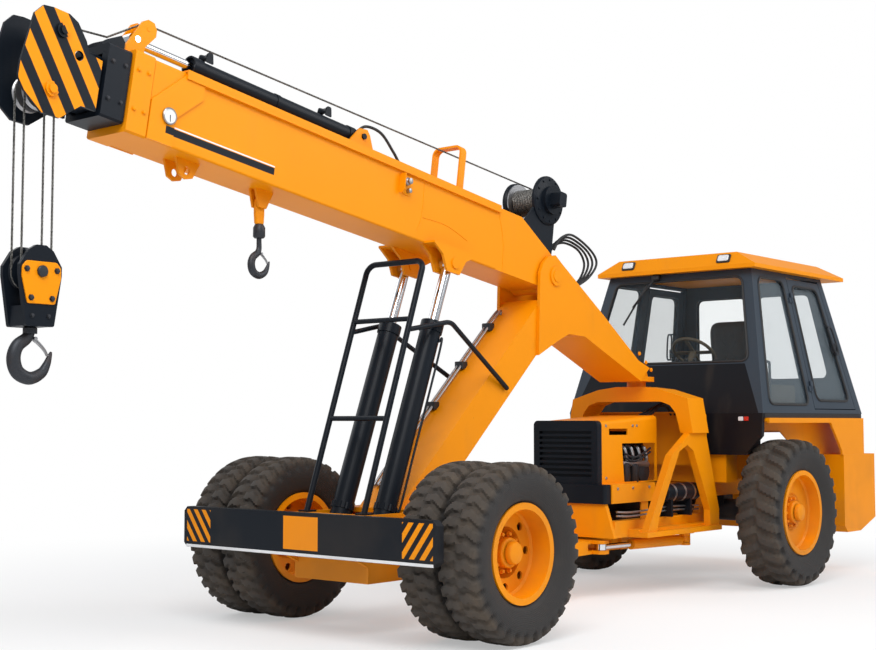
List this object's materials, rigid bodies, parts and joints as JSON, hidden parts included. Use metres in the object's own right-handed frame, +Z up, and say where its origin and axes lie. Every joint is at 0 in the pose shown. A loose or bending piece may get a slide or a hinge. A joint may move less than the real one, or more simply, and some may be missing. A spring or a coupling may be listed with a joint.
{
  "type": "articulated pick-and-carry mobile crane",
  "caption": "Pick-and-carry mobile crane: twin-wheel front frame with telescopic boom and hook, hinged to a rear frame with engine, cab and counterweight.",
  "frame": {"origin": "on the ground, under the middle of the machine's bounding box", "axes": "+X towards the boom's tip, +Y to the machine's left, +Z up"},
  "size_m": [8.7236, 2.5582, 3.6661],
  "materials": {
    "yellow_paint": "semi-gloss paint",
    "slate_paint": "satin paint",
    "black_paint": "satin paint",
    "tyre_rubber": "dusty rubber",
    "chrome_rod": "polished",
    "bare_steel": "worn",
    "hook_steel": "dark forged",
    "cab_glass": "clear",
    "cab_trim": "matt"
  },
  "bodies": {
    "rear_chassis": {"chassis_frame": "yellow_paint", "steering_brackets": "yellow_paint", "rear_axle": "black_paint", "engine_block": "black_paint", "engine_hood": "yellow_paint", "radiator_grille": "black_paint", "pivot_arch": "yellow_paint", "a_frames": "yellow_paint", "air_tank": "black_paint", "counterweight": "yellow_paint", "rear_fenders": "yellow_paint", "cab_frame": "slate_paint", "cab_front_panel": "black_paint", "cab_windows": "cab_glass", "cab_floor": "cab_trim", "cab_roof": "yellow_paint", "driver_seat": "cab_trim", "cab_controls": "cab_trim"},
    "front_frame": {"front_chassis": "yellow_paint", "front_axle": "yellow_paint", "front_bumper": "black_paint", "gooseneck_column": "yellow_paint", "gooseneck_head": "yellow_paint", "guard_frame": "black_paint"},
    "front_wheel_left": {"front_tyres_left": "tyre_rubber", "front_rims_left": "yellow_paint"},
    "front_wheel_right": {"front_tyres_right": "tyre_rubber", "front_rims_right": "yellow_paint"},
    "rear_wheel_left": {"rear_tyre_left": "tyre_rubber", "rear_rim_left": "yellow_paint"},
    "rear_wheel_right": {"rear_tyre_right": "tyre_rubber", "rear_rim_right": "yellow_paint"},
    "boom": {"boom_base": "yellow_paint", "boom_hoop": "yellow_paint", "telescope_barrel": "black_paint", "winch_frame": "black_paint", "winch_drum": "bare_steel"},
    "boom_middle": {"boom_mid": "yellow_paint", "telescope_rod": "chrome_rod"},
    "boom_outer": {"boom_third": "black_paint"},
    "boom_tip": {"boom_head": "black_paint", "head_sheaves": "bare_steel"},
    "hoist_ropes": {"hoist_falls": "bare_steel"},
    "hook_assembly": {"hook_block": "black_paint"},
    "hook": {"main_hook": "hook_steel"},
    "small_hook": {"aux_hook": "hook_steel"},
    "lift_cylinder_barrels": {"lift_barrels": "black_paint"},
    "lift_cylinder_rods": {"lift_rods": "chrome_rod"},
    "steer_cylinder_left": {"steer_barrel_left": "yellow_paint"},
    "steer_cylinder_right": {"steer_barrel_right": "yellow_paint"},
    "steer_piston_left": {"steer_rod_left": "chrome_rod"},
    "steer_piston_right": {"steer_rod_right": "chrome_rod"},
    "door_left": {"cab_door_left": "slate_paint", "door_glass_left": "cab_glass"},
    "door_right": {"cab_door_right": "slate_paint", "door_glass_right": "cab_glass"}
  },
  "joints": [
    {"name": "articulation", "type": "hinge", "parent": "rear_chassis", "child": "front_frame", "pos_m": [-1.79682, 0, 0.4], "axis": [0, 0, 1], "range_deg": [-35, 35]},
    {"name": "rear_wheel_left_spin", "type": "hinge", "parent": "rear_chassis", "child": "rear_wheel_left", "pos_m": [-2.55382, 1, 0.61], "axis": [0, 1, 0], "continuous": true},
    {"name": "rear_wheel_right_spin", "type": "hinge", "parent": "rear_chassis", "child": "rear_wheel_right", "pos_m": [-2.55382, -1, 0.61], "axis": [0, 1, 0], "continuous": true},
    {"name": "front_wheel_left_spin", "type": "hinge", "parent": "front_frame", "child": "front_wheel_left", "pos_m": [1.46318, 0.965, 0.56], "axis": [0, 1, 0], "continuous": true},
    {"name": "front_wheel_right_spin", "type": "hinge", "parent": "front_frame", "child": "front_wheel_right", "pos_m": [1.46318, -0.965, 0.56], "axis": [0, 1, 0], "continuous": true},
    {"name": "luff", "type": "hinge", "parent": "front_frame", "child": "boom", "pos_m": [-0.33682, 0, 2.48], "axis": [0, -1, 0], "range_deg": [-4, 51.5]},
    {"name": "extend_middle", "type": "slide", "parent": "boom", "child": "boom_middle", "axis": [0.989, 0, 0.1478], "range_m": [0, 1.1]},
    {"name": "extend_outer", "type": "slide", "parent": "boom_middle", "child": "boom_outer", "axis": [0.989, 0, 0.1478], "range_m": [0, 1.15]},
    {"name": "extend_tip", "type": "slide", "parent": "boom_outer", "child": "boom_tip", "axis": [0.989, 0, 0.1478], "range_m": [0, 1.15]},
    {"name": "ropes_plumb", "type": "hinge", "parent": "boom_tip", "child": "hoist_ropes", "pos_m": [4.16269, 0, 3.12212], "axis": [0, -1, 0], "range_deg": [-52, 4.5]},
    {"name": "hoist", "type": "slide", "parent": "hoist_ropes", "child": "hook_assembly", "axis": [0, 0, -1], "range_m": [-0.15, 0.9], "deforming": ["hoist_falls"]},
    {"name": "hook_swivel", "type": "hinge", "parent": "hook_assembly", "child": "hook", "pos_m": [4.16269, 0, 2.15712], "axis": [0, 0, 1], "continuous": true},
    {"name": "small_hook_plumb", "type": "hinge", "parent": "boom", "child": "small_hook", "pos_m": [2.53963, 0, 2.71778], "axis": [0, -1, 0], "range_deg": [-52, 4.5]},
    {"name": "lift_barrel_swing", "type": "hinge", "parent": "front_frame", "child": "lift_cylinder_barrels", "pos_m": [1.65318, 0, 0.62], "axis": [0, -1, 0], "range_deg": [-0.5, 1.5]},
    {"name": "lift_rod_stroke", "type": "slide", "parent": "lift_cylinder_barrels", "child": "lift_cylinder_rods", "axis": [-0.3576, 0, 0.9339], "range_m": [-0.1, 1.15]},
    {"name": "steer_barrel_left_swing", "type": "hinge", "parent": "rear_chassis", "child": "steer_cylinder_left", "pos_m": [-1.81682, 0.44, 0.398], "axis": [0, 0, 1], "range_deg": [-33.5, 33.5]},
    {"name": "steer_barrel_right_swing", "type": "hinge", "parent": "rear_chassis", "child": "steer_cylinder_right", "pos_m": [-1.81682, -0.44, 0.398], "axis": [0, 0, 1], "range_deg": [-33.5, 33.5]},
    {"name": "steer_rod_left_stroke", "type": "slide", "parent": "steer_cylinder_left", "child": "steer_piston_left", "axis": [0.9911, -0.1334, 0], "range_m": [-0.27, 0.27]},
    {"name": "steer_rod_right_stroke", "type": "slide", "parent": "steer_cylinder_right", "child": "steer_piston_right", "axis": [0.9911, 0.1334, 0], "range_m": [-0.27, 0.27]},
    {"name": "door_left_open", "type": "hinge", "parent": "rear_chassis", "child": "door_left", "pos_m": [-3.19582, 0.98177, 1.44235], "axis": [-0.0392, 0.196, -0.9798], "range_deg": [0, 75]},
    {"name": "door_right_open", "type": "hinge", "parent": "rear_chassis", "child": "door_right", "pos_m": [-3.19582, -0.98177, 1.44235], "axis": [0.0392, 0.196, 0.9798], "range_deg": [0, 75]}
  ],
  "couplings": [
    {"joint": "ropes_plumb", "follows": "luff", "ratio": -1},
    {"joint": "small_hook_plumb", "follows": "luff", "ratio": -1},
    {"joint": "lift_barrel_swing", "follows": "luff", "ratio": 0.02},
    {"joint": "lift_rod_stroke", "follows": "luff", "m_per_rad": 1.25},
    {"joint": "steer_barrel_left_swing", "follows": "articulation", "ratio": 0.93},
    {"joint": "steer_barrel_right_swing", "follows": "articulation", "ratio": 0.93},
    {"joint": "steer_rod_left_stroke", "follows": "articulation", "m_per_rad": -0.42},
    {"joint": "steer_rod_right_stroke", "follows": "articulation", "m_per_rad": 0.42}
  ]
}
